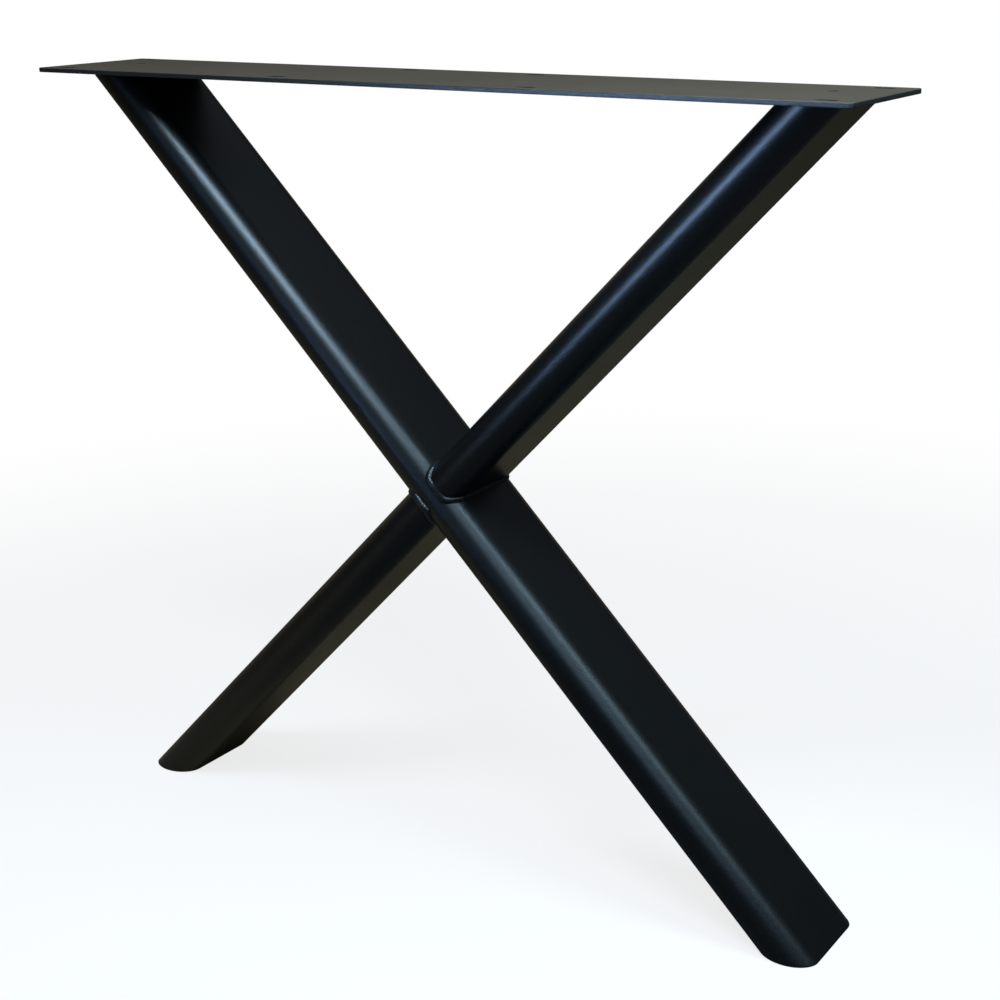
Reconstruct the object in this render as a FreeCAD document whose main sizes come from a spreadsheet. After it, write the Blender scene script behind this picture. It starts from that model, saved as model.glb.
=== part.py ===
import FreeCAD, Part
import math
import os
import Sketcher
from FreeCAD import Placement, Rotation, Vector

# X-shaped steel table leg: a flat oval tube runs through on one diagonal, two half tubes are coped
# onto its flanks on the other, and a slotted plate lies across the top.
# Frame: X along the plate, -Y towards the side where the plate stands proud of the tubes, +Z up.
# The origin is on the floor, below the middle of the plate. Millimetres and degrees.

DRIVING = {
    "leg_height": 710,
    "plate_length": 800,
    "plate_width": 130,
    "plate_thickness": 4,
    "plate_corner_radius": 3,
    "tube_depth": 100,
    "tube_width": 38,
    "tube_wall": 2,
    "tube_back_inset": 0,
    "tube_end_inset": 50,
    "cope_tip_radius": 10,
    "slot_length": 18,
    "slot_width": 7,
    "slot_row_inset": 12,
    "outer_slot_inset": 25,
    "front_inner_slot_spacing": 250,
    "back_inner_slot_spacing": 130,
    "vent_diameter": 8,
    "drain_diameter": 8,
    "foot_plate_thickness": 3,
    "foot_edge_chamfer": 0.8,
    "joint_bead_radius": 4,
    "plate_bead_radius": 3,
    "plate_bead_stop": 8,
}

# Sizes that follow from the driving ones, as formulas of the same sheet. The leg's spread is measured
# between the tubes' centre lines, along the floor and along the plate's underside: they meet the
# plate the end inset in from its ends, so tubes, beads, vents and drains keep to the plate's length.
DERIVED = {
    "leg_spread": "=plate_length - 2 * tube_end_inset",
    "outer_slot_spacing": "=plate_length - 2 * outer_slot_inset",
    "tube_top": "=leg_height - plate_thickness",
    "lean": "=atan(leg_spread / tube_top)",
    "crossing_height": "=tube_top / 2",
    "tube_centre_y": "=(plate_width - tube_depth) / 2 - tube_back_inset",
    "half_stock": "=crossing_height / cos(lean) + tube_depth",
    "slot_row_y": "=plate_width / 2 - slot_row_inset",
    "beyond": "=leg_height + leg_spread + plate_length",
}

# A bead's section has this many sides, and the balls at its corners are smaller by this share, so
# that they stay inside it where it runs on straight.
BEAD_SIDES = 8
BALL_SHARE = 0.9

# A tube's diagonal is named by the side of the leg, in X, to which its top leans.
LONG_TUBE_SIDE = -1
ARM_SIDE = 1

doc = FreeCAD.newDocument("x_leg")
sheet = doc.addObject("Spreadsheet::Sheet", "Sizes")


def fill_sheet():
    """Writes each size beside its name, with the name as the cell's alias."""
    for row, (name, value) in enumerate([*DRIVING.items(), *DERIVED.items()], start=1):
        sheet.set(f"A{row}", name)
        sheet.set(f"B{row}", str(value))
        sheet.setAlias(f"B{row}", name)
    doc.recompute()


def value_of(formula):
    """The present value of a formula in which the sheet's names start with Sizes."""
    value = sheet.evalExpression(formula)
    return float(getattr(value, "Value", value))


def size(name):
    return value_of("Sizes." + name)


def new_body(label):
    body = doc.addObject("PartDesign::Body", label)
    body.Label = label
    return body


def new_sketch(body, name, role):
    """A sketch on one of the body's own origin planes."""
    sketch = body.newObject("Sketcher::SketchObject", name)
    plane = next(item for item in body.Origin.OriginFeatures if item.Role == role)
    sketch.AttachmentSupport = [(plane, "")]
    sketch.MapMode = "FlatFace"
    return sketch


def square_to_diagonal(sketch, side):
    """Moves a floor plane sketch to the crossing and turns it square to a diagonal."""
    sketch.AttachmentOffset = Placement(Vector(), Rotation(Vector(0, 1, 0), side * size("lean")))
    sketch.setExpression("AttachmentOffset.Base.y", "Sizes.tube_centre_y")
    sketch.setExpression("AttachmentOffset.Base.z", "Sizes.crossing_height")
    sketch.setExpression("AttachmentOffset.Rotation.Angle", f"{side} * Sizes.lean")


def add_size(sketch, name, constraint, formula):
    """Adds a constraint that has a size and ties the size to a formula."""
    sketch.renameConstraint(sketch.addConstraint(constraint), name)
    sketch.setExpression("Constraints." + name, formula)


def place_point(sketch, name, geometry, point, formulas):
    """Ties a point's X and Y to two formulas; a formula of 0 puts it on the other axis."""
    for kind, axis, formula in zip(("DistanceX", "DistanceY"), (-2, -1), formulas):
        if formula == "0":
            sketch.addConstraint(Sketcher.Constraint("PointOnObject", geometry, point, axis))
        else:
            constraint = Sketcher.Constraint(kind, -1, 1, geometry, point, value_of(formula))
            add_size(sketch, f"{name}_{kind}", constraint, formula)


def add_ring(sketch, pieces):
    """Adds the pieces of a closed outline and gives their numbers and each with its follower."""
    ring = [sketch.addGeometry(piece) for piece in pieces]
    return ring, list(zip(ring, ring[1:] + ring[:1]))


def add_oval(sketch, name, ends, radius):
    """Two half rounds of one radius about two end centres, joined by straight flanks."""
    near, far = (Vector(value_of(x), value_of(y), 0) for x, y in ends)
    reach, turn = value_of(radius), math.atan2(far.y - near.y, far.x - near.x)
    aside = Vector(math.sin(turn), -math.cos(turn), 0) * reach
    quarter, upwards = math.pi / 2, Vector(0, 0, 1)
    ring, meetings = add_ring(sketch, [
        Part.LineSegment(near + aside, far + aside),
        Part.ArcOfCircle(Part.Circle(far, upwards, reach), turn - quarter, turn + quarter),
        Part.LineSegment(far - aside, near - aside),
        Part.ArcOfCircle(Part.Circle(near, upwards, reach), turn + quarter, turn + 3 * quarter),
    ])
    for here, after in meetings:
        sketch.addConstraint(Sketcher.Constraint("Tangent", here, 2, after, 1))
    sketch.addConstraint(Sketcher.Constraint("Equal", ring[1], ring[3]))
    add_size(sketch, name + "_radius", Sketcher.Constraint("Radius", ring[1], reach), radius)
    place_point(sketch, name + "_near", ring[3], 3, ends[0])
    place_point(sketch, name + "_far", ring[1], 3, ends[1])


def add_circle(sketch, name, centre, radius):
    start = Vector(value_of(centre[0]), value_of(centre[1]), 0)
    circle = sketch.addGeometry(Part.Circle(start, Vector(0, 0, 1), value_of(radius)))
    add_size(sketch, name + "_radius", Sketcher.Constraint("Radius", circle, value_of(radius)), radius)
    place_point(sketch, name, circle, 3, centre)


def add_rectangle(sketch, low, high):
    """A rectangle between two corners, each given by its two formulas."""
    left, bottom, right, top = (value_of(formula) for formula in (*low, *high))
    corners = [Vector(left, bottom), Vector(right, bottom), Vector(right, top), Vector(left, top)]
    sides = [Part.LineSegment(here, after) for here, after in zip(corners, corners[1:] + corners[:1])]
    ring, meetings = add_ring(sketch, sides)
    for here, after in meetings:
        sketch.addConstraint(Sketcher.Constraint("Coincident", here, 2, after, 1))
    for line, direction in zip(ring, ("Horizontal", "Vertical", "Horizontal", "Vertical")):
        sketch.addConstraint(Sketcher.Constraint(direction, line))
    place_point(sketch, "low", ring[0], 1, low)
    place_point(sketch, "high", ring[2], 1, high)


def pocket_through(body, sketch, name):
    """A pocket that runs out of the solid both ways; the volume has to fall."""
    before = body.Shape.Volume
    pocket = body.newObject("PartDesign::Pocket", name)
    pocket.Profile = sketch
    pocket.Type = "ThroughAll"
    pocket.Midplane = True
    body.Tip = pocket
    doc.recompute()
    if body.Shape.Volume >= before:
        raise RuntimeError(f"{name} takes nothing off {body.Label}")


def saw_off(body, name, low, high):
    """Takes off all that lies between two heights, level with the floor."""
    sketch = new_sketch(body, name + "_outline", "XZ_Plane")
    add_rectangle(sketch, ("-Sizes.beyond", low), ("Sizes.beyond", high))
    pocket_through(body, sketch, name)


def dress_edges(body, name, kind, wanted, size_property, formula):
    """A fillet or chamfer on those of the body's edges for which wanted is true."""
    base = body.Tip
    edges = [f"Edge{i}" for i, edge in enumerate(base.Shape.Edges, start=1) if wanted(edge)]
    dressing = body.newObject("PartDesign::" + kind, name)
    dressing.Base = (base, edges)
    dressing.setExpression(size_property, formula)
    body.Tip = dressing
    doc.recompute()


END_CENTRE = "(Sizes.tube_depth - Sizes.tube_width) / 2"
TUBE_ENDS = (("0", "-" + END_CENTRE), ("0", END_CENTRE))
OUTSIDE_RADIUS = "Sizes.tube_width / 2"
BORE_RADIUS = "Sizes.tube_width / 2 - Sizes.tube_wall"


def lay_stock(body, side, hollow, way):
    """Flat oval stock on a diagonal, laid from the crossing up or down, or through it."""
    sketch = new_sketch(body, "section", "XY_Plane")
    square_to_diagonal(sketch, side)
    add_oval(sketch, "outside", TUBE_ENDS, OUTSIDE_RADIUS)
    if hollow:
        add_oval(sketch, "bore", TUBE_ENDS, BORE_RADIUS)
    pad = body.newObject("PartDesign::Pad", "stock")
    pad.Profile = sketch
    pad.Type = "Length"
    pad.setExpression("Length", "2 * Sizes.half_stock" if way == "through" else "Sizes.half_stock")
    pad.Midplane = way == "through"
    pad.Reversed = way == "down"
    body.Tip = pad
    doc.recompute()


def cope(body):
    """Cuts an arm's inner end to the long tube's outside and rounds off the two feather tips."""
    outline = new_sketch(body, "cope_outline", "XY_Plane")
    square_to_diagonal(outline, LONG_TUBE_SIDE)
    add_oval(outline, "cutter", TUBE_ENDS, OUTSIDE_RADIUS)
    pocket_through(body, outline, "cope")
    tip = new_sketch(body, "tip_outline", "XZ_Plane")
    add_circle(tip, "tip", ("0", "Sizes.crossing_height"), "Sizes.cope_tip_radius")
    pocket_through(body, tip, "tip_relief")


def make_long_tube():
    """The unbroken diagonal, sawn level under the plate and on top of its foot plate."""
    body = new_body("long_tube")
    lay_stock(body, LONG_TUBE_SIDE, True, "through")
    saw_off(body, "top_saw_cut", "Sizes.tube_top", "Sizes.beyond")
    saw_off(body, "foot_saw_cut", "-Sizes.beyond", "Sizes.foot_plate_thickness")
    return body


def make_upper_arm():
    body = new_body("upper_arm_tube")
    lay_stock(body, ARM_SIDE, True, "up")
    saw_off(body, "top_saw_cut", "Sizes.tube_top", "Sizes.beyond")
    cope(body)
    return body


def make_lower_arm():
    body = new_body("lower_arm_tube")
    lay_stock(body, ARM_SIDE, True, "down")
    saw_off(body, "foot_saw_cut", "-Sizes.beyond", "Sizes.foot_plate_thickness")
    cope(body)
    return body


def lies_on_floor(edge):
    middle = edge.valueAt((edge.FirstParameter + edge.LastParameter) / 2)
    return abs(edge.Vertexes[0].Z) < 1e-6 and abs(middle.z) < 1e-6


def make_foot_plate(label, side):
    """Closes a foot: a slice of the tube's outline between the floor and the tube, with a drain hole."""
    body = new_body(label)
    lay_stock(body, side, False, "through")
    saw_off(body, "tube_side", "Sizes.foot_plate_thickness", "Sizes.beyond")
    saw_off(body, "floor_side", "-Sizes.beyond", "0")
    dress_edges(body, "broken_edge", "Chamfer", lies_on_floor, "Size", "Sizes.foot_edge_chamfer")
    drain = new_sketch(body, "drain_outline", "XY_Plane")
    centre = (f"{-side} * Sizes.leg_spread / 2", "Sizes.tube_centre_y")
    add_circle(drain, "drain", centre, "Sizes.drain_diameter / 2")
    pocket_through(body, drain, "drain")
    return body


def is_upright(edge):
    return edge.Curve.TypeId == "Part::GeomLine" and abs(edge.Curve.Direction.z) > 0.999


def add_slot(sketch, name, x, y):
    """A slot along X about a centre."""
    half_straight = "(Sizes.slot_length - Sizes.slot_width) / 2"
    ends = ((f"{x} - {half_straight}", y), (f"{x} + {half_straight}", y))
    add_oval(sketch, name, ends, "Sizes.slot_width / 2")


def new_plate_sketch(body, name):
    """A sketch in the plane of the plate's underside."""
    sketch = new_sketch(body, name, "XY_Plane")
    sketch.setExpression("AttachmentOffset.Base.z", "Sizes.tube_top")
    return sketch


def make_top_plate():
    """The strip under the table top: slots along both long edges and a vent over each tube."""
    body = new_body("top_plate")
    outline = new_plate_sketch(body, "outline")
    half_length, half_width = "Sizes.plate_length / 2", "Sizes.plate_width / 2"
    add_rectangle(outline, ("-" + half_length, "-" + half_width), (half_length, half_width))
    pad = body.newObject("PartDesign::Pad", "strip")
    pad.Profile = outline
    pad.setExpression("Length", "Sizes.plate_thickness")
    body.Tip = pad
    doc.recompute()
    dress_edges(body, "corner_rounds", "Fillet", is_upright, "Radius", "Sizes.plate_corner_radius")
    slots = new_plate_sketch(body, "slot_outlines")
    for row, y in (("front", "-Sizes.slot_row_y"), ("back", "Sizes.slot_row_y")):
        for place, spacing in (("outer", "outer_slot_spacing"), ("inner", row + "_inner_slot_spacing")):
            add_slot(slots, f"{row}_{place}_left", f"-Sizes.{spacing} / 2", y)
            add_slot(slots, f"{row}_{place}_right", f"Sizes.{spacing} / 2", y)
    pocket_through(body, slots, "slots")
    vents = new_plate_sketch(body, "vent_outlines")
    for name, x in (("left_vent", "-Sizes.leg_spread / 2"), ("right_vent", "Sizes.leg_spread / 2")):
        add_circle(vents, name, (x, "Sizes.tube_centre_y"), "Sizes.vent_diameter / 2")
    pocket_through(body, vents, "vents")
    return body


def axis_of(side):
    """The upward direction of a diagonal."""
    return Rotation(Vector(0, 1, 0), side * size("lean")).multVec(Vector(0, 0, 1))


def crossing():
    return Vector(0, size("tube_centre_y"), size("crossing_height"))


def outside_of(side, way):
    """The solid that a tube's outside fills before it is sawn or coped; weld metal stays out of it."""
    half = size("tube_width") / 2
    flank = size("tube_depth") / 2 - half
    corners = [Vector(half, -flank), Vector(half, flank), Vector(-half, flank), Vector(-half, -flank)]
    crown = Vector(0, flank + half)
    outline = Part.Wire([
        Part.LineSegment(corners[0], corners[1]).toShape(),
        Part.Arc(corners[1], crown, corners[2]).toShape(),
        Part.LineSegment(corners[2], corners[3]).toShape(),
        Part.Arc(corners[3], -crown, corners[0]).toShape(),
    ])
    start, length = {"up": (0, 1), "down": (0, -1), "through": (-1, 2)}[way]
    solid = Part.Face(outline).extrude(Vector(0, 0, length * size("half_stock")))
    solid.translate(Vector(0, 0, start * size("half_stock")))
    solid.rotate(Vector(), Vector(0, 1, 0), side * size("lean"))
    solid.translate(crossing())
    return solid


def space_between(low, high, front=None):
    """All the space between two heights, or only what lies behind a Y value."""
    beyond = size("beyond")
    start = -beyond if front is None else front
    return Part.makeBox(2 * beyond, beyond - start, high - low, Vector(-beyond, start, low))


def runs_along(axis):
    """A test for the faces of a tube's outside, flanks and rounds, that run along its axis."""
    def test(face):
        surface = face.Surface
        if surface.TypeId == "Part::GeomPlane":
            return abs(surface.Axis.dot(axis)) < 1e-6
        return surface.TypeId == "Part::GeomCylinder" and abs(surface.Axis.dot(axis)) > 1 - 1e-6
    return test


def edges_shared(solid, first, second):
    """The edges between the faces for which first is true and those for which second is true."""
    ones = [edge for face in solid.Faces if first(face) for edge in face.Edges]
    others = [edge for face in solid.Faces if second(face) for edge in face.Edges]
    return [edge for edge in ones if any(edge.isSame(other) for other in others)]


def ring_round(point, tangent, upright, radius):
    """The outline of a bead: a polygon square to its path, with one corner towards upright."""
    first = upright - tangent * upright.dot(tangent)
    first.normalize()
    turns = [Rotation(tangent, 360 * side / BEAD_SIDES) for side in range(BEAD_SIDES)]
    corners = [point + turn.multVec(first) * radius for turn in turns]
    return Part.makePolygon([*corners, corners[0]])


def bead_along(edges, radius, upright):
    """A bead laid along a chain of edges: a pipe on each, and a ball where two meet."""
    pieces = []
    for edge in edges:
        first, last = edge.FirstParameter, edge.LastParameter
        ring = ring_round(edge.valueAt(first), edge.tangentAt(first), upright, radius)
        pieces.append(Part.Wire([edge]).makePipeShell([ring], True, False))
        pieces += [Part.makeSphere(BALL_SHARE * radius, edge.valueAt(end)) for end in (first, last)]
    return pieces[0].multiFuse(pieces[1:])


def new_weld(label, metal):
    """Weld metal as one solid of the document."""
    if len(metal.Solids) != 1:
        raise RuntimeError(f"{label} falls into {len(metal.Solids)} pieces")
    weld = doc.addObject("Part::Feature", label)
    weld.Label = label
    weld.Shape = metal.Solids[0]
    return weld


def make_joint_weld(label, half_turns):
    """The bead round an arm's coped end, dressed level with the plate's back edge.

    It is laid on the upper arm; a half turn about the crossing brings it to the lower one.
    """
    long_outside = outside_of(LONG_TUBE_SIDE, "through")
    beyond = size("beyond")
    tip = Part.makeCylinder(size("cope_tip_radius"), 2 * beyond,
                            Vector(0, -beyond, size("crossing_height")), Vector(0, 1, 0))
    arm_outside = outside_of(ARM_SIDE, "up").cut(long_outside).cut(tip)
    along_arm = runs_along(axis_of(ARM_SIDE))
    reach = size("tube_depth")

    def is_coped(face):
        return not along_arm(face) and face.CenterOfMass.distanceToPoint(crossing()) < reach

    bead = bead_along(edges_shared(arm_outside, along_arm, is_coped), size("joint_bead_radius"), axis_of(ARM_SIDE))
    behind = space_between(0, size("tube_top"), size("plate_width") / 2)
    metal = bead.cut(long_outside).cut(arm_outside).cut(behind)
    metal.rotate(crossing(), Vector(0, 1, 0), 180 * half_turns)
    return new_weld(label, metal)


def make_plate_weld(label, side, way):
    """The bead in the corner between a tube and the plate; it stops short of the flush back edge."""
    tube_top = size("tube_top")
    above = space_between(tube_top, tube_top + size("beyond"))
    outside = outside_of(side, way).cut(above)

    def is_top(face):
        return abs(face.CenterOfMass.z - tube_top) < 1e-6

    path = edges_shared(outside, runs_along(axis_of(side)), is_top)
    bead = bead_along(path, size("plate_bead_radius"), Vector(0, 0, 1))
    behind = space_between(0, tube_top, size("plate_width") / 2 - size("plate_bead_stop"))
    return new_weld(label, bead.cut(outside).cut(above).cut(behind))


def check_parts(parts):
    """Stops if an object has failed or a part isn't one sound solid."""
    for item in doc.Objects:
        if any(word in item.State for word in ("Invalid", "Error")):
            raise RuntimeError(f"{item.Name} failed: {item.State}")
    for part in parts:
        shape = part.Shape
        if shape.isNull() or not shape.isValid() or len(shape.Solids) != 1:
            raise RuntimeError(f"{part.Label} isn't one sound solid")
        print(f"{part.Label}: {shape.Volume / 1000:.1f} cm3, {len(shape.Faces)} faces")


fill_sheet()
parts = [
    make_long_tube(),
    make_upper_arm(),
    make_lower_arm(),
    make_top_plate(),
    make_foot_plate("long_tube_foot_plate", LONG_TUBE_SIDE),
    make_foot_plate("lower_arm_foot_plate", ARM_SIDE),
    make_joint_weld("upper_joint_weld", 0),
    make_joint_weld("lower_joint_weld", 1),
    make_plate_weld("long_tube_top_weld", LONG_TUBE_SIDE, "through"),
    make_plate_weld("upper_arm_top_weld", ARM_SIDE, "up"),
]
doc.recompute()
check_parts(parts)
os.makedirs("parts", exist_ok=True)
for part in parts:
    part.Shape.exportStep(f"parts/{part.Label}.step")
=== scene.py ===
"""Dressed scene of an X-shaped steel table leg in black powder coat, on a pale studio floor."""

import logging
import math
from dataclasses import dataclass, field
from enum import Enum
from typing import Any, Callable, Optional, Sequence, Union

import bmesh
import bpy
import numpy as np
from mathutils import Matrix, Vector


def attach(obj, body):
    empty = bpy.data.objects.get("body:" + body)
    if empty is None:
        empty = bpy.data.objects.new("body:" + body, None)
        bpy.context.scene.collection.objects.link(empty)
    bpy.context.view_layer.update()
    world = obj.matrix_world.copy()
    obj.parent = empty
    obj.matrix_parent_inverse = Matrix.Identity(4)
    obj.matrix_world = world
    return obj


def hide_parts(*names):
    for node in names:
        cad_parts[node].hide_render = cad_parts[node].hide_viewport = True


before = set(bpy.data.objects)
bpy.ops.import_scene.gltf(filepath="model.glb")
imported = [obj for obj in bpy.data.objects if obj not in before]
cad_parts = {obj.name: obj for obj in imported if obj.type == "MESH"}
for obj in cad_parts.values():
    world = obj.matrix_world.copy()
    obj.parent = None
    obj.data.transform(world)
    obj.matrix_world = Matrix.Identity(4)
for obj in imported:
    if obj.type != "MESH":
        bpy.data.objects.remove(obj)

LOG = logging.getLogger("x_leg")
ROOT_BODY = "root"
MM = 0.001
PICTURE_PIXELS = 1000.0
ROUND_STEPS = 44
SHARP_DEGREES = 40.0
UP = np.array([0.0, 0.0, 1.0])
BACKWARDS = np.array([0.0, 1.0, 0.0])

Number = Union[int, float]
Colour = tuple[float, float, float]
Place = tuple[float, float, float]
Pair = tuple[float, float]
ReachOf = Callable[[np.ndarray], np.ndarray]
OutlineAt = Callable[[float], np.ndarray]


class Lean(Enum):
    """The side of the leg, in X, to which a diagonal's top leans."""

    LEFT = -1
    RIGHT = 1


class Slot(Enum):
    """The record's material slots."""

    TUBE = "tube_coat"
    PLATE = "plate_coat"
    WELD = "weld_coat"


@dataclass(frozen=True)
class LegSizes:
    """The leg's sizes in metres, as its solids have them.

    The tips of the arms' coped ends are relieved on the tip radius, foot_plate is the thickness of the
    plates that close the feet, and the beads under the plate stop short of its back edge by the stop.
    """

    height: float = 710 * MM
    spread: float = 700 * MM
    plate_length: float = 800 * MM
    plate_width: float = 130 * MM
    plate_thickness: float = 4 * MM
    plate_corner_radius: float = 3 * MM
    tube_depth: float = 100 * MM
    tube_width: float = 38 * MM
    tube_wall: float = 2 * MM
    tip_radius: float = 10 * MM
    foot_plate: float = 3 * MM
    slot_length: float = 18 * MM
    slot_width: float = 7 * MM
    slot_row_y: float = 53 * MM
    outer_slots_x: float = 375 * MM
    front_inner_slots_x: float = 125 * MM
    back_inner_slots_x: float = 65 * MM
    hole_diameter: float = 8 * MM
    joint_bead: float = 4 * MM
    plate_bead: float = 3 * MM
    plate_bead_stop: float = 8 * MM

    @property
    def tube_top(self) -> float:
        """Height of the plate's underside."""
        return self.height - self.plate_thickness

    @property
    def tube_radius(self) -> float:
        """Radius of the tubes' half rounds."""
        return self.tube_width / 2

    @property
    def half_flat(self) -> float:
        """Half the length of the tubes' straight flanks."""
        return self.tube_depth / 2 - self.tube_radius

    @property
    def tube_y(self) -> float:
        """Y of the tubes' middle plane: their backs are flush with the plate's back edge."""
        return (self.plate_width - self.tube_depth) / 2

    @property
    def lean(self) -> float:
        """Angle between a diagonal and the vertical."""
        return math.atan2(self.spread, self.tube_top)

    @property
    def crossing(self) -> np.ndarray:
        """The point where the two diagonals cross."""
        return np.array([0.0, self.tube_y, self.tube_top / 2])

    @property
    def back(self) -> float:
        """Y of the plate's back edge."""
        return self.plate_width / 2


SIZES = LegSizes()


@dataclass(frozen=True)
class Outline:
    """A closed outline: its points in a section plane and their outward normals, one row each."""

    points: np.ndarray
    normals: np.ndarray


def on_circle(angles: np.ndarray) -> np.ndarray:
    """Rows (cos a, sin a)."""
    return np.stack([np.cos(angles), np.sin(angles)], axis=1)


def at_height(outline: np.ndarray, height: float) -> np.ndarray:
    """A level outline's points raised to a height."""
    return np.column_stack([outline, np.full(len(outline), height)])


def unit(vectors: np.ndarray) -> np.ndarray:
    """Rows of vectors brought to length one."""
    return vectors / np.linalg.norm(vectors, axis=1, keepdims=True)


def flat_oval(half_width: float, half_flat: float, round_steps: int) -> Outline:
    """Outline of a flat oval: two straight flanks along the second axis and a half round at each end.

    A half round's point at angle a is (r cos a, f + r sin a), with r the half width and f the half
    flat; a flank's point is (r, f times its share of the way). Points close to the rounds keep the
    shading of the flanks level.

    Args:
        half_width: Half of the oval's width, which is also its ends' radius.
        half_flat: Half the length of a straight flank.
        round_steps: Number of steps round each half round.

    Returns:
        The outline, counter-clockwise from the start of the flank on the first axis's positive side.
    """
    shares = np.array([-1.0, -0.96, -0.6, -0.2, 0.2, 0.6, 0.96])
    flank = np.stack([np.full_like(shares, half_width), shares * half_flat], axis=1)
    flank_normals = np.tile([1.0, 0.0], (len(shares), 1))
    round_normals = on_circle(np.linspace(0.0, math.pi, round_steps, endpoint=False))
    points = np.concatenate([flank, round_normals * half_width + [0.0, half_flat]])
    normals = np.concatenate([flank_normals, round_normals])
    return Outline(np.concatenate([points, -points]), np.concatenate([normals, -normals]))


def tube_outline(round_steps: int = ROUND_STEPS) -> Outline:
    """Outline of the tubes' outside, with a number of steps round each half round."""
    return flat_oval(SIZES.tube_radius, SIZES.half_flat, round_steps)


def tube_bore() -> Outline:
    """Outline of the tubes' bore."""
    return flat_oval(SIZES.tube_radius - SIZES.tube_wall, SIZES.half_flat, ROUND_STEPS)


def stadium(centre: Pair, half_straight: float, radius: float, steps: int = 14) -> np.ndarray:
    """Outline of a slot along X, or of a round hole where the straight part is nothing.

    A point at angle a is the centre plus (r cos a, r sin a), moved by the half straight part to the
    side on which its cosine lies.

    Args:
        centre: The slot's centre, in X and Y.
        half_straight: Half of the distance between its end centres.
        radius: Half of its width.
        steps: Number of points round each end.

    Returns:
        Points of the outline, counter-clockwise; two that fall together count once.
    """
    right = np.linspace(-math.pi / 2, math.pi / 2, steps)
    loop = np.concatenate([radius * on_circle(right) + [half_straight, 0.0],
                           radius * on_circle(right + math.pi) - [half_straight, 0.0]])
    together = 1e-7
    keep = np.linalg.norm(loop - np.roll(loop, 1, axis=0), axis=1) > together
    return loop[keep] + np.asarray(centre)


def rounded_rectangle(length: float, width: float, radius: float, steps: int = 8) -> np.ndarray:
    """Outline of a rectangle about the origin with rounded corners.

    Each corner's point at angle a is its centre plus (r cos a, r sin a).

    Args:
        length: Size along X.
        width: Size along Y.
        radius: The corners' radius.
        steps: Number of points round each corner.

    Returns:
        Points of the outline, counter-clockwise.
    """
    quarter = np.linspace(0.0, math.pi / 2, steps)
    corners = []
    for turn, (x_sign, y_sign) in enumerate(((1, 1), (-1, 1), (-1, -1), (1, -1))):
        centre = np.array([x_sign * (length / 2 - radius), y_sign * (width / 2 - radius)])
        corners.append(centre + radius * on_circle(quarter + turn * math.pi / 2))
    return np.concatenate(corners)


@dataclass(frozen=True)
class Diagonal:
    """The straight line of a tube through the crossing, with directions along and across it."""

    lean: Lean

    @property
    def along(self) -> np.ndarray:
        """Upward direction of the diagonal."""
        return np.array([self.lean.value * math.sin(SIZES.lean), 0.0, math.cos(SIZES.lean)])

    @property
    def across(self) -> np.ndarray:
        """Direction square to the diagonal and to Y."""
        return np.cross(BACKWARDS, self.along)

    def place(self, section: np.ndarray, reach: np.ndarray) -> np.ndarray:
        """Points at section (s, y) and at a reach along the diagonal: crossing + s across + y Y + t along.

        Args:
            section: Rows of section coordinates, across and Y.
            reach: Distance along the diagonal of each row.

        Returns:
            Rows of points in the leg's frame.
        """
        return (SIZES.crossing + section[:, :1] * self.across + section[:, 1:] * BACKWARDS
                + reach[:, None] * self.along)

    def outward(self, outline: Outline) -> np.ndarray:
        """An outline's normals in the leg's frame: their first part across, their second along Y."""
        return outline.normals[:, :1] * self.across + outline.normals[:, 1:] * BACKWARDS

    def reach_of_height(self, section: np.ndarray, height: float) -> np.ndarray:
        """Reach at which the line through each section point gets to a height.

        The height of a point is that of the crossing plus s times across's z plus t times along's z.

        Args:
            section: Rows of section coordinates.
            height: The height above the floor.

        Returns:
            One reach for each row.
        """
        return (height - SIZES.crossing[2] - section[:, 0] * self.across[2]) / self.along[2]


LONG = Diagonal(Lean.LEFT)
ARMS = Diagonal(Lean.RIGHT)


def reach_of_cope(section: np.ndarray, tip_radius: float = SIZES.tip_radius) -> np.ndarray:
    """Reach at which an arm's lines leave the long tube's outside, or the round relief at its tips.

    The long tube's half width at y is r on its flanks and the root of r squared less the square of
    the way past the flank on its rounds. A line across it at s leaves it where s (b.B) + t (a.B)
    equals that half width, a and b being the arm's directions and B the one across the long tube.
    The relief adds that s squared plus t squared is at least the tip radius squared.

    Args:
        section: Rows of the arm's section coordinates.
        tip_radius: Radius of the relief.

    Returns:
        One reach for each row.
    """
    past = np.clip(np.abs(section[:, 1]) - SIZES.half_flat, 0.0, SIZES.tube_radius)
    half_width = np.sqrt(SIZES.tube_radius ** 2 - past ** 2)
    slide = float(ARMS.across @ LONG.across)
    climb = float(ARMS.along @ LONG.across)
    cope = (half_width - section[:, 0] * slide) / climb
    relief = np.sqrt(np.clip(tip_radius ** 2 - section[:, 0] ** 2, 0.0, None))
    return np.maximum(cope, relief)


def half_turn(points: np.ndarray) -> np.ndarray:
    """Points turned half way round the crossing's line along Y: x and z change sign there."""
    return (points - SIZES.crossing) * [-1.0, 1.0, -1.0] + SIZES.crossing


def smooth_closed(values: np.ndarray, width: float) -> np.ndarray:
    """Evens a closed row of values: each becomes the mean of its neighbours, weighted by a bell curve.

    Args:
        values: Rows of vectors, the last followed by the first.
        width: The bell curve's standard deviation, in rows.

    Returns:
        The evened rows.
    """
    count = len(values)
    steps = np.minimum(np.arange(count), count - np.arange(count))
    bell = np.exp(-0.5 * (steps / width) ** 2)
    turned = np.fft.fft(bell / bell.sum())[:, None] * np.fft.fft(values, axis=0)
    return np.fft.ifft(turned, axis=0).real


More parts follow.
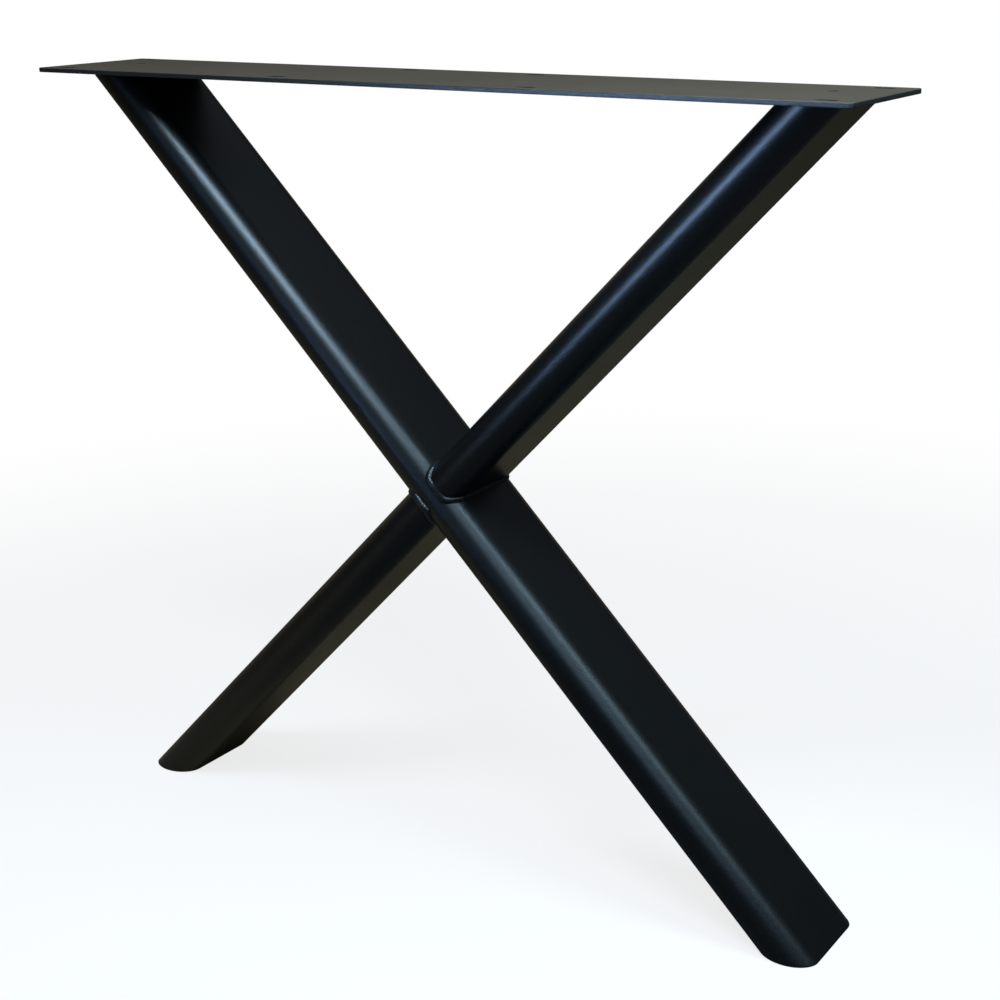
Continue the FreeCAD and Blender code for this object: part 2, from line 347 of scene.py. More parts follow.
def read_at(wanted: np.ndarray, known: np.ndarray, values: np.ndarray) -> np.ndarray:
    """Values read off at wanted places, in proportion between the known places next to each.

    Args:
        wanted: The places to read at.
        known: The places of the values, in rising order.
        values: Rows of vectors, one for each known place.

    Returns:
        One row for each wanted place.
    """
    return np.stack([np.interp(wanted, known, column) for column in values.T], axis=1)


def spaced_evenly(points: np.ndarray, gap: float, closed: bool) -> tuple[np.ndarray, np.ndarray]:
    """Places points at even distances along a polyline.

    Args:
        points: Rows of points.
        gap: Wanted distance between the new points.
        closed: Whether the last point is followed by the first.

    Returns:
        The new points, and each one's distance from the start.
    """
    chain = np.concatenate([points, points[:1]]) if closed else points
    way = np.concatenate([[0.0], np.cumsum(np.linalg.norm(np.diff(chain, axis=0), axis=1))])
    wanted = np.linspace(0.0, way[-1], int(round(way[-1] / gap)), endpoint=not closed)
    return read_at(wanted, way, chain), wanted


def tangents(path: np.ndarray, closed: bool) -> np.ndarray:
    """Directions along a polyline: at each point, from the one before it to the one after it.

    Args:
        path: Rows of points.
        closed: Whether the last point is followed by the first; otherwise each end's own step is
            repeated past it.

    Returns:
        Rows of unit vectors.
    """
    if closed:
        return unit(np.roll(path, -1, axis=0) - np.roll(path, 1, axis=0))
    longer = np.concatenate([path[:1] * 2 - path[1:2], path, path[-1:] * 2 - path[-2:-1]])
    return unit(longer[2:] - longer[:-2])


class MeshMaker:
    """Turns arrays of points into Blender objects at the origin."""

    @staticmethod
    def skin_faces(rows: int, columns: int, closed: bool) -> np.ndarray:
        """Corner numbers of the quads between loops of points: each point with its followers.

        Args:
            rows: Number of loops.
            columns: Number of points in a loop, whose last point is followed by its first.
            closed: Whether the last loop is followed by the first.

        Returns:
            One row of four corner numbers for each quad.
        """
        row = np.arange(rows if closed else rows - 1)[:, None]
        column = np.arange(columns)[None, :]
        next_row, next_column = (row + 1) % rows, (column + 1) % columns
        corners = [row * columns + column, row * columns + next_column,
                   next_row * columns + next_column, next_row * columns + column]
        return np.stack([corner.ravel() for corner in corners], axis=1)

    @staticmethod
    def end_fans(rows: int, columns: int) -> np.ndarray:
        """Corner numbers of the triangles that close the first and the last loop.

        Args:
            rows: Number of loops, whose points are followed by the two ends' middle points.
            columns: Number of points in a loop.

        Returns:
            One row of three corner numbers for each triangle.
        """
        column = np.arange(columns)
        follower = (column + 1) % columns
        last = (rows - 1) * columns
        start = np.full(columns, rows * columns)
        return np.concatenate([np.stack([start, follower, column], axis=1),
                               np.stack([start + 1, last + column, last + follower], axis=1)])

    @staticmethod
    def signed_volume(points: np.ndarray, faces: np.ndarray) -> float:
        """A group of faces' part in a closed form's volume, which is negative if they face inwards.

        It is a sixth of the sum, over the faces' triangles, of each first corner dotted with the cross
        product of the other two.

        Args:
            points: Rows of points.
            faces: Rows of three or four corner numbers.

        Returns:
            The group's part.
        """
        first = points[faces[:, 0]]
        total = 0.0
        for here in range(1, faces.shape[1] - 1):
            total += float(np.sum(first * np.cross(points[faces[:, here]], points[faces[:, here + 1]])))
        return total / 6

    @staticmethod
    def fill_borders(mesh: bpy.types.Mesh) -> None:
        """Fills a mesh's open flat sides with triangles, one side for each height, and turns it outwards.

        The border edges are taken in the order of their points, so that each run fills alike.

        Args:
            mesh: A mesh whose open borders all lie level.
        """
        form = bmesh.new()
        form.from_mesh(mesh)
        ends = {edge: sorted(vert.index for vert in edge.verts) for edge in form.edges if edge.is_boundary}
        sides: dict[float, list[bmesh.types.BMEdge]] = {}
        for edge in sorted(ends, key=lambda edge: (ends[edge][1], -ends[edge][0])):
            sides.setdefault(edge.verts[0].co.z, []).append(edge)
        for borders in sides.values():
            bmesh.ops.triangle_fill(form, use_beauty=True, use_dissolve=False, edges=borders)
        bmesh.ops.recalc_face_normals(form, faces=form.faces[:])
        form.to_mesh(mesh)
        form.free()

    @classmethod
    def build(cls, name: str, points: np.ndarray, faces: Sequence[Sequence[int]],
              material: bpy.types.Material, sharp_degrees: float = SHARP_DEGREES,
              filled: bool = False) -> bpy.types.Object:
        """Makes an object at the origin, smooth but for its sharp edges.

        Args:
            name: The object's name.
            points: Rows of points.
            faces: Corner numbers of each face.
            material: Its finish.
            sharp_degrees: Angle between faces above which an edge is sharp.
            filled: Whether flat sides that the faces leave open are filled.

        Returns:
            The new object.
        """
        mesh = bpy.data.meshes.new(name)
        mesh.from_pydata(points.tolist(), [], faces)
        if filled:
            cls.fill_borders(mesh)
        mesh.validate()
        mesh.polygons.foreach_set("use_smooth", np.ones(len(mesh.polygons), dtype=bool))
        mesh.set_sharp_from_angle(angle=math.radians(sharp_degrees))
        mesh.update()
        mesh.materials.append(material)
        piece = bpy.data.objects.new(name, mesh)
        bpy.context.scene.collection.objects.link(piece)
        return piece

    @classmethod
    def ring_form(cls, name: str, loops: Sequence[np.ndarray], material: bpy.types.Material,
                  closed: bool = True, sharp_degrees: float = SHARP_DEGREES) -> bpy.types.Object:
        """A form whose skin runs through loops of points, facing outwards.

        Args:
            name: The object's name.
            loops: Loops with the same number of points.
            material: Its finish.
            closed: Whether the last loop joins the first; otherwise both ends get a fan.
            sharp_degrees: Angle between faces above which an edge is sharp.

        Returns:
            The new object.
        """
        rings = np.stack(loops)
        rows, columns = rings.shape[:2]
        points = rings.reshape(-1, 3)
        groups = [cls.skin_faces(rows, columns, closed)]
        if not closed:
            points = np.concatenate([points, [rings[0].mean(axis=0), rings[-1].mean(axis=0)]])
            groups.append(cls.end_fans(rows, columns))
        if sum(cls.signed_volume(points, group) for group in groups) < 0:
            groups = [group[:, ::-1] for group in groups]
        faces = [face for group in groups for face in group.tolist()]
        return cls.build(name, points, faces, material, sharp_degrees)


def seat(piece: bpy.types.Object, node: str) -> None:
    """Lets a piece stand for a node: it rides on the leg, and the node's own part is hidden.

    Args:
        piece: The piece.
        node: The node that it stands for.
    """
    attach(piece, ROOT_BODY)
    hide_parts(node)
    LOG.info("%s stands for %s: %d faces", piece.name, node, len(piece.data.polygons))


@dataclass
class Wire:
    """A node's output socket; arithmetic on wires adds Math nodes to the material."""

    graph: "Graph"
    socket: Optional[bpy.types.NodeSocket]

    def sibling(self, output: str) -> "Wire":
        """The wire of another output of the same node."""
        return Wire(self.graph, self.socket.node.outputs[output])

    def _math(self, operation: str, first: Any, second: Any) -> "Wire":
        """Adds one Math node."""
        return self.graph.add("ShaderNodeMath", {"operation": operation}, {0: first, 1: second})

    def __add__(self, other: Union["Wire", Number]) -> "Wire":
        """Sum."""
        return self._math("ADD", self, other)

    __radd__ = __add__

    def __sub__(self, other: Union["Wire", Number]) -> "Wire":
        """Difference."""
        return self._math("SUBTRACT", self, other)

    def __rsub__(self, other: Number) -> "Wire":
        """Difference from a number."""
        return self._math("SUBTRACT", other, self)

    def __mul__(self, other: Union["Wire", Number]) -> "Wire":
        """Product."""
        return self._math("MULTIPLY", self, other)

    __rmul__ = __mul__

    def __or__(self, other: "Wire") -> "Wire":
        """The larger of two values."""
        return self._math("MAXIMUM", self, other)

    def __abs__(self) -> "Wire":
        """Size without its sign."""
        return self._math("ABSOLUTE", self, 0.0)

    def below(self, limit: Number) -> "Wire":
        """One where the value is below a limit, and nothing elsewhere."""
        return self._math("LESS_THAN", self, limit)


@dataclass(frozen=True)
class Pattern:
    """A noise.

    Attributes:
        per_metre: Number of its features to the metre.
        octaves: Number of finer layers over them.
        roughness: Strength of each layer beside the one before.
    """

    per_metre: float
    octaves: float
    roughness: float = 0.5


class Graph:
    """The nodes of one material or world."""

    def __init__(self, tree: bpy.types.NodeTree) -> None:
        """Empties a tree so that it can be filled.

        Args:
            tree: The node tree of a material or world.
        """
        self.tree = tree
        tree.nodes.clear()

    def add(self, kind: str, settings: Optional[dict[str, Any]] = None,
            inputs: Optional[dict[Union[int, str], Any]] = None, output: Union[int, str] = 0) -> Wire:
        """Adds a node of any type.

        Args:
            kind: Blender's name for the node type.
            settings: Values of the node's own settings.
            inputs: Numbers, colours or wires for its sockets, by name or number.
            output: Which output the wire is.

        Returns:
            The wire of the chosen output, without a socket where the node has none.
        """
        node = self.tree.nodes.new(kind)
        for name, value in (settings or {}).items():
            setattr(node, name, value)
        for name, value in (inputs or {}).items():
            if isinstance(value, Wire):
                self.tree.links.new(value.socket, node.inputs[name])
            else:
                node.inputs[name].default_value = (*value, 1.0) if isinstance(value, tuple) else value
        return Wire(self, node.outputs[output] if node.outputs else None)

    def noise(self, place: Wire, pattern: Pattern) -> Wire:
        """Noise from 0 to 1.

        Args:
            place: The wire of a point's place.
            pattern: The noise's scale and detail.

        Returns:
            The wire of the noise.
        """
        return self.add("ShaderNodeTexNoise", {}, {
            "Vector": place, "Scale": pattern.per_metre, "Detail": pattern.octaves,
            "Roughness": pattern.roughness})

    def blend(self, factor: Any, first: Any, second: Any) -> Wire:
        """Mixes two colours."""
        return self.add("ShaderNodeMix", {"data_type": "RGBA"}, {0: factor, 6: first, 7: second}, output=2)

    def ease(self, value: Wire, span: Pair, ends: Pair = (0.0, 1.0)) -> Wire:
        """Goes smoothly from one end to the other while a value crosses a span.

        Args:
            value: The wire of the value.
            span: The values at which the change starts and is complete.
            ends: The result before and after it.

        Returns:
            The wire of the result.
        """
        return self.add("ShaderNodeMapRange", {"interpolation_type": "SMOOTHSTEP"}, {
            "Value": value, "From Min": span[0], "From Max": span[1], "To Min": ends[0], "To Max": ends[1]})


@dataclass(frozen=True)
class HoleZone:
    """The space inside a plate's border and between its faces, where only the walls of holes have a skin.

    Attributes:
        half_length: Its reach from the middle along X.
        half_width: Its reach from the middle along Y.
        bottom: Height at which it starts.
        top: Height at which it ends.
    """

    half_length: float
    half_width: float
    bottom: float
    top: float

    def share(self, place: Wire) -> Wire:
        """One inside the zone and nothing outside it.

        Args:
            place: The wire of a point's object coordinates.

        Returns:
            The wire of the share.
        """
        x = place.graph.add("ShaderNodeSeparateXYZ", {}, {"Vector": place})
        y, z = x.sibling("Y"), x.sibling("Z")
        return (abs(x).below(self.half_length) * abs(y).below(self.half_width)
                * z.below(self.top) * (1 - z.below(self.bottom)))


@dataclass(frozen=True)
class PowderCoat:
    """Black powder coat: a fine cast grain over slow waves, slightly uneven in shade and gloss.

    Attributes:
        name: The finish's name.
        dark: Colour where the coat is thick.
        light: Colour of its grain's crests.
        roughness: Roughness on average.
        cloud_dulling: How far its clouds move the roughness either way.
        grain_height: Height of the grain, in metres.
        wave_height: Height of the slow waves, in metres.
        specular: Strength of its mirror gloss.
        painted_sheen: Colour of a painted warm reflection on the top face, if any; it stands in for the
            reflection of a warm ceiling.
        sheen_above: Height, in metres, above which that painted reflection lies.
        hole_zone: Where the walls of the holes are; they get painted shade and a duller gloss.
        hole_painted_shade: Colour of the painted shade there, dark as the shade inside the holes.
        hole_dulling: What it adds to the roughness there.
        grain: The fine grain.
        crumbs: Coarser crumbs in the grain.
        waves: The slow waves.
        clouds: Slow changes of shade and gloss.
        crest_span: Strengths of the grain between which a crest's colour comes in.
        crest_share: The crests' part in the shade; the clouds have the rest.
        crumb_height: Height of the crumbs beside that of the grain.
        crumb_dulling: How far the crumbs move the roughness, from end to end.
        sheen_depth: Height over which the painted reflection comes in.
        sheen_cover: Its strength on average.
        sheen_clouds: How far the clouds move that, from end to end.
        sheen_on_crests: What the crests add to it.
    """

    name: str
    dark: Colour
    light: Colour
    roughness: float
    cloud_dulling: float
    grain_height: float
    wave_height: float
    specular: float
    painted_sheen: Optional[Colour] = None
    sheen_above: float = 0.0
    hole_zone: Optional[HoleZone] = None
    hole_painted_shade: Colour = (0.0015, 0.0012, 0.0010)
    hole_dulling: float = 0.45
    grain: Pattern = Pattern(1150.0, 2.0, 0.55)
    crumbs: Pattern = Pattern(632.5, 1.0)
    waves: Pattern = Pattern(110.0, 1.0)
    clouds: Pattern = Pattern(9.0, 3.0, 0.6)
    crest_span: Pair = (0.5, 0.78)
    crest_share: float = 0.75
    crumb_height: float = 1.3
    crumb_dulling: float = 0.06
    sheen_depth: float = 0.4 * MM
    sheen_cover: float = 0.7
    sheen_clouds: float = 0.6
    sheen_on_crests: float = 0.3

    def material(self) -> bpy.types.Material:
        """Builds the material.

        Returns:
            A new material.
        """
        material = bpy.data.materials.new(self.name)
        material.use_nodes = True
        graph = Graph(material.node_tree)
        place = graph.add("ShaderNodeTexCoord", output="Object")
        grain, crumbs, waves, clouds = (
            graph.noise(place, pattern) for pattern in (self.grain, self.crumbs, self.waves, self.clouds))
        crest = graph.ease(grain, self.crest_span)
        lightness = crest * self.crest_share + clouds * (1 - self.crest_share)
        shade = graph.blend(lightness, self.dark, self.light)
        gloss = (self.roughness + (clouds - 0.5) * (2 * self.cloud_dulling)
                 + (crumbs - 0.5) * self.crumb_dulling)
        # Painted warm reflection: above a height, the top face is blended towards a lighter warm colour
        # that stands in for the ceiling's reflection.
        if self.painted_sheen:
            level = graph.add("ShaderNodeSeparateXYZ", {}, {"Vector": place}, output="Z")
            on_top = graph.ease(level, (self.sheen_above, self.sheen_above + self.sheen_depth))
            sheen_share = self.sheen_cover + self.sheen_clouds * (clouds - 0.5) + self.sheen_on_crests * crest
            shade = graph.blend(on_top * sheen_share, shade, self.painted_sheen)
        # Painted shade: the holes' walls are darkened as if in shadow, and their roughness is raised.
        if self.hole_zone:
            inside = self.hole_zone.share(place)
            shade = graph.blend(inside, shade, self.hole_painted_shade)
            gloss = gloss + self.hole_dulling * inside
        height = (grain * self.grain_height + crumbs * (self.grain_height * self.crumb_height)
                  + waves * self.wave_height)
        normal = graph.add("ShaderNodeBump", {}, {"Strength": 1.0, "Distance": 1.0, "Height": height})
        surface = graph.add("ShaderNodeBsdfPrincipled", {}, {
            "Base Color": shade, "Roughness": gloss, "Normal": normal, "Metallic": 0.0,
            "Specular IOR Level": self.specular, "IOR": 1.5})
        graph.add("ShaderNodeOutputMaterial", {}, {"Surface": surface})
        return material


FINISHES: dict[Slot, PowderCoat] = {
    Slot.TUBE: PowderCoat(
        "tube_powder_coat", dark=(0.0013, 0.0016, 0.0019), light=(0.0036, 0.0041, 0.0046),
        roughness=0.37, cloud_dulling=0.035, grain_height=0.05 * MM, wave_height=0.10 * MM, specular=0.45),
    Slot.PLATE: PowderCoat(
        "plate_powder_coat", dark=(0.0050, 0.0052, 0.0052), light=(0.0100, 0.0100, 0.0098),
        roughness=0.48, cloud_dulling=0.04, grain_height=0.06 * MM, wave_height=0.10 * MM, specular=0.66,
        # The plate's top face gets a painted warm reflection.
        painted_sheen=(0.060, 0.036, 0.020), sheen_above=SIZES.height - 0.5 * MM,
        # The holes' walls get painted shade.
        hole_zone=HoleZone(half_length=SIZES.plate_length / 2 - 1 * MM,
                           half_width=SIZES.plate_width / 2 - 1 * MM,
                           bottom=SIZES.tube_top + 0.1 * MM, top=SIZES.height - 0.06 * MM)),
    Slot.WELD: PowderCoat(
        "weld_powder_coat", dark=(0.0032, 0.0037, 0.0043), light=(0.0065, 0.0070, 0.0077),
        roughness=0.34, cloud_dulling=0.05, grain_height=0.04 * MM, wave_height=0.08 * MM, specular=0.5),
}


@dataclass
class CrossedTubes:
    """The unbroken tube and the two coped arms.

    Attributes:
        upper_tip_radius: Radius at which the upper arm's tips end, under its bead.
        outside: Outline of the tubes' outside.
        bore: Outline of their bore.
    """

    upper_tip_radius: float = 12.8 * MM
    outside: Outline = field(default_factory=tube_outline)
    bore: Outline = field(default_factory=tube_bore)

    def loops(self, diagonal: Diagonal, low: ReachOf, high: ReachOf) -> list[np.ndarray]:
        """Loops of a tube's skin: up its outside and down its bore.

        Args:
            diagonal: The tube's line.
            low: Gives the reach of the lower end for each section point.
            high: Gives the reach of the upper end.

        Returns:
            Four loops of points; the last is followed by the first.
        """
        out, bore = self.outside.points, self.bore.points
        return [diagonal.place(out, low(out)), diagonal.place(out, high(out)),
                diagonal.place(bore, high(bore)), diagonal.place(bore, low(bore))]

    def build(self, material: bpy.types.Material) -> None:
        """Builds the three tubes; the lower arm is made as an upper one and turned half way round.

        Args:
            material: Their finish.
        """
        long_loops = self.loops(LONG, lambda line: LONG.reach_of_height(line, SIZES.foot_plate),
                                lambda line: LONG.reach_of_height(line, SIZES.tube_top))
        upper_loops = self.loops(ARMS, lambda line: reach_of_cope(line, self.upper_tip_radius),
                                 lambda line: ARMS.reach_of_height(line, SIZES.tube_top))
        foot_end = SIZES.tube_top - SIZES.foot_plate
        lower_loops = self.loops(ARMS, reach_of_cope, lambda line: ARMS.reach_of_height(line, foot_end))
        for node, loops in (("long_tube", long_loops), ("upper_arm_tube", upper_loops),
                            ("lower_arm_tube", [half_turn(loop) for loop in lower_loops])):
            seat(MeshMaker.ring_form(node + "_skin", loops, material), node)


@dataclass(frozen=True)
class Swing:
    """A slow wave along a bead: its size times the sine of rate times the way plus the phase."""

    size: float
    rate: float
    phase: float = 0.0

    def along(self, way: np.ndarray) -> np.ndarray:
        """The wave's value at each distance along the bead."""
        return self.size * np.sin(way * self.rate + self.phase)


@dataclass
class WeldBeads:
    """Hand-laid weld beads: round in section, rippled by the torch's steps.

    Attributes:
        pitch: Distance between ripples.
        ripple: Height of a ripple, as a share of the bead's radius.
        ripple_bow: How far the ripples are held back at the bead's sides, in ripples.
        ripple_power: Power that makes the ripples' crests broader.
        pace: Swings in the torch's pace, in ripples.
        fullness: Swings in the bead's radius, as shares of it.
        slack: Share of the full radius by which the bead stays below it on average.
        section_steps: Number of steps round a bead.
        gap: Distance between the rings of a bead.
        sink: Share of the open way under a relieved tip by which the bead sinks.
        flank_share: Radius along the flanks as a share of the radius round the ends.
        round_blend: Distance either side of a flank's end over which the radius changes.
        joint_flatness: Height of a joint bead as a share of its half width.
        plate_flatness: Height of a bead under the plate as a share of its half width.
        upper_tip_radius: Radius round which the upper bead passes the arm's tips.
        fine_gap: Distance between the points of a joint bead's path while it is evened.
        easing: Length over which that path is evened.
        crown_easing: Number of rings over which the directions of the crown are evened.
        taper: Length over which a bead under the plate thins out at its stops.
        least_share: Share of the radius that is left there.
        sharp_degrees: Angle between faces above which an edge of a bead is sharp.
    """

    pitch: float = 2.7 * MM
    ripple: float = 0.06
    ripple_bow: float = 0.34
    ripple_power: float = 0.8
    pace: tuple[Swing, Swing] = (Swing(0.16, 310.0), Swing(0.11, 733.0, 1.3))
    fullness: tuple[Swing, Swing] = (Swing(0.022, 95.0, 0.7), Swing(0.016, 211.0))
    slack: float = 0.045
    section_steps: int = 22
    gap: float = 0.36 * MM
    sink: float = 0.55
    flank_share: float = 0.8
    round_blend: float = 4 * MM
    joint_flatness: float = 0.86
    plate_flatness: float = 0.9
    upper_tip_radius: float = 14.8 * MM
    fine_gap: float = 0.25 * MM
    easing: float = 4.2 * MM
    crown_easing: float = 6.0
    taper: float = 3.5 * MM
    least_share: float = 0.02
    sharp_degrees: float = 75.0

    def swell(self, way: np.ndarray, angles: np.ndarray) -> np.ndarray:
        """Share of the full radius at each distance and angle round the bead.

        A ripple is the size of the cosine of pi times the way in ripples, so its valleys are sharp;
        the way is held back towards the bead's sides by the bow times one less the angle's cosine,
        which bows the ripples. Two slow swings make the bead a little uneven.

        Args:
            way: Distance along the bead of each ring.
            angles: Angle round the bead from its crown.

        Returns:
            A table with a row for each ring and a column for each angle.
        """
        bowed = way[:, None] / self.pitch - self.ripple_bow * (1 - np.cos(angles))[None, :]
        jitter = sum(swing.along(way) for swing in self.pace)
        scallop = np.abs(np.cos(math.pi * (bowed + jitter[:, None]))) ** self.ripple_power
        slow = sum(swing.along(way) for swing in self.fullness)
        return 1.0 - self.slack + slow[:, None] - self.ripple * (1 - scallop)

    def rings(self, path: np.ndarray, tangent: np.ndarray, crown: np.ndarray, way: np.ndarray,
              radius: np.ndarray, flatness: float) -> np.ndarray:
        """Rings of a bead: centre + r cos a (flatness x crown direction) + r sin a (side direction).

        Args:
            path: Centre of each ring.
            tangent: Direction of the bead there.
            crown: Direction from the centre to the bead's crown.
            way: Distance along the bead of each ring.
            radius: Full radius of each ring.
            flatness: Height of the bead as a share of its half width.

        Returns:
            An array of rings of points.
        """
        upright = unit(crown - np.sum(crown * tangent, axis=1, keepdims=True) * tangent)
        side = np.cross(tangent, upright)
        angles = np.linspace(0.0, 2 * math.pi, self.section_steps, endpoint=False)
        swollen = self.swell(way, angles) * radius[:, None]
        high = (swollen * np.cos(angles) * flatness)[:, :, None] * upright[:, None, :]
        wide = (swollen * np.sin(angles))[:, :, None] * side[:, None, :]
        return path[:, None, :] + high + wide

    def crown_at(self, path: np.ndarray) -> np.ndarray:
        """Direction away from both tubes at points near the arm's coped edge.

        It is the sum of the two tubes' outward normals: for a tube with directions b across and Y,
        the normal at (s, y) is along (s, y less y held to the flank's length).

        Args:
            path: Rows of points.

        Returns:
            Rows of unit vectors.
        """
        offset = path - SIZES.crossing
        past = offset[:, 1] - np.clip(offset[:, 1], -SIZES.half_flat, SIZES.half_flat)
        total = sum(unit((offset @ diagonal.across)[:, None] * diagonal.across + past[:, None] * BACKWARDS)
                    for diagonal in (LONG, ARMS))
        return unit(smooth_closed(unit(total), self.crown_easing))

    def joint_rings(self, tip_radius: float) -> np.ndarray:
        """Rings of the bead round an arm's coped end, dressed level with the plate's back edge.

        The path is the arm's coped edge, evened so that it turns the tips' corners in one sweep. Where
        the tips are relieved it sinks by a share of the way to the long tube's skin, which is the root
        of the sum of the squares of the way across the long tube and the way past its flank, less the
        half width. The bead is fuller at the rounds than along the flanks.

        Args:
            tip_radius: Radius round which the bead passes the tips.

        Returns:
            An array of rings of points.
        """
        outline = tube_outline(round_steps=160)
        edge = ARMS.place(outline.points, reach_of_cope(outline.points, tip_radius))
        offset = edge - SIZES.crossing
        past = np.clip(np.abs(offset[:, 1]) - SIZES.half_flat, 0.0, None)
        clear = np.clip(np.hypot(offset @ LONG.across, past) - SIZES.tube_radius, 0.0, None)
        edge = edge - ARMS.outward(outline) * (self.sink * clear)[:, None]
        path, _ = spaced_evenly(edge, self.fine_gap, True)
        path, way = spaced_evenly(smooth_closed(path, self.easing / self.fine_gap), self.gap, True)
        past = np.abs(path[:, 1] - SIZES.tube_y) - SIZES.half_flat
        at_round = np.clip((past + self.round_blend) / (2 * self.round_blend), 0.0, 1.0)
        radius = SIZES.joint_bead * (self.flank_share + (1 - self.flank_share) * at_round)
        rings = self.rings(path, tangents(path, True), self.crown_at(path), way, radius,
                           self.joint_flatness)
        rings[:, :, 1] = np.minimum(rings[:, :, 1], SIZES.back)
        return rings

    def plate_rings(self, diagonal: Diagonal) -> np.ndarray:
        """Rings of the bead between a tube's top and the plate; it stops short of the flush edge.

        The radius falls towards both stops as the root of one less the square of the way past the
        taper's start.

        Args:
            diagonal: The tube's line.

        Returns:
            An array of rings of points.
        """
        outline = tube_outline(round_steps=120)
        edge = diagonal.place(outline.points, diagonal.reach_of_height(outline.points, SIZES.tube_top))
        hidden = edge[:, 1] > SIZES.back - SIZES.plate_bead_stop
        start = int(np.flatnonzero(hidden & ~np.roll(hidden, -1))[0]) + 1
        shown = ~np.roll(hidden, -start)
        edge = np.roll(edge, -start, axis=0)[shown]
        normals = np.roll(diagonal.outward(outline), -start, axis=0)[shown]
        path, way = spaced_evenly(edge, self.gap, False)
        crown = unit(read_at(np.linspace(0, 1, len(path)), np.linspace(0, 1, len(edge)), normals)) - UP
        left = np.minimum(way, way[-1] - way)
        share = np.sqrt(np.clip(1 - np.clip(1 - left / self.taper, 0, 1) ** 2, 0.0, 1.0))
        radius = SIZES.plate_bead * np.maximum(share, self.least_share)
        return self.rings(path, tangents(path, False), crown, way, radius, self.plate_flatness)

    def build(self, material: bpy.types.Material) -> None:
        """Builds the four beads.

        Args:
            material: Their finish.
        """
        for node, rings, closed in (
                ("upper_joint_weld", self.joint_rings(self.upper_tip_radius), True),
                ("lower_joint_weld", half_turn(self.joint_rings(SIZES.tip_radius)), True),
                ("long_tube_top_weld", self.plate_rings(LONG), False),
                ("upper_arm_top_weld", self.plate_rings(ARMS), False)):
            piece = MeshMaker.ring_form(node + "_bead", rings, material, closed, self.sharp_degrees)
            seat(piece, node)


@dataclass
class TopPlate:
    """The flat strip with its slots and vents.

    Attributes:
        border_rounding: Rounding of the plate's own coated edges.
        hole_rounding: Rounding of the holes' coated edges.
        edge_steps: Number of steps round it.
        rim: Width of the flat rim that keeps the faces' shading level.
        least_corner: Least radius of the border's corners when it is drawn in.
    """

    border_rounding: float = 0.7 * MM
    hole_rounding: float = 0.2 * MM
    edge_steps: int = 5
    rim: float = 1.0 * MM
    least_corner: float = 0.3 * MM

    def profile(self, radius: float) -> list[Pair]:
        """Inset and height of the loops from the top face to the underside.

        On the rounded edge at angle a the inset is e (1 - sin a) and the drop e (1 - cos a).

        Args:
            radius: Rounding of the edge.

        Returns:
            Pairs of inset and height.
        """
        top, bottom = SIZES.height, SIZES.tube_top
        angles = np.linspace(0.0, math.pi / 2, self.edge_steps + 1)
        upper = [(radius * (1 - math.sin(a)), top - radius * (1 - math.cos(a))) for a in angles]
        lower = [(inset, top + bottom - height) for inset, height in reversed(upper)]
        return [(radius + self.rim, top), *upper, *lower, (radius + self.rim, bottom)]

    def border(self, inset: float) -> np.ndarray:
        """The strip's own outline, drawn in by an inset."""
        return rounded_rectangle(SIZES.plate_length - 2 * inset, SIZES.plate_width - 2 * inset,
                                 max(SIZES.plate_corner_radius - inset, self.least_corner))

    @staticmethod
    def hole(x: float, y: float, length: float, width: float) -> OutlineAt:
        """A slot or round hole as a function of the inset by which it is widened, clockwise."""
        return lambda inset: stadium((x, y), (length - width) / 2, width / 2 + inset)[::-1]

    def holes(self) -> list[OutlineAt]:
        """The plate's slots and vents.

        Returns:
            Functions from an inset to points of the outline.
        """
        slot_places = [(x, y) for y, inner in ((-SIZES.slot_row_y, SIZES.front_inner_slots_x),
                                               (SIZES.slot_row_y, SIZES.back_inner_slots_x))
                       for x in (-SIZES.outer_slots_x, -inner, inner, SIZES.outer_slots_x)]
        slots = [self.hole(x, y, SIZES.slot_length, SIZES.slot_width) for x, y in slot_places]
        vents = [self.hole(x, SIZES.tube_y, SIZES.hole_diameter, SIZES.hole_diameter)
                 for x in (-SIZES.spread / 2, SIZES.spread / 2)]
        return slots + vents

    def build(self, material: bpy.types.Material) -> None:
        """Builds the plate: walls from the profile, and both faces filled between the outlines.

        Args:
            material: Its finish.
        """
        points, faces, first = [], [], 0
        for outline, rounding in ((self.border, self.border_rounding),
                                  *((hole, self.hole_rounding) for hole in self.holes())):
            loops = np.stack([at_height(outline(inset), height)
                              for inset, height in self.profile(rounding)])
            faces += (MeshMaker.skin_faces(*loops.shape[:2], closed=False) + first).tolist()
            points.append(loops.reshape(-1, 3))
            first += len(points[-1])
        piece = MeshMaker.build("top_plate_skin", np.concatenate(points), faces, material, filled=True)
        seat(piece, "top_plate")


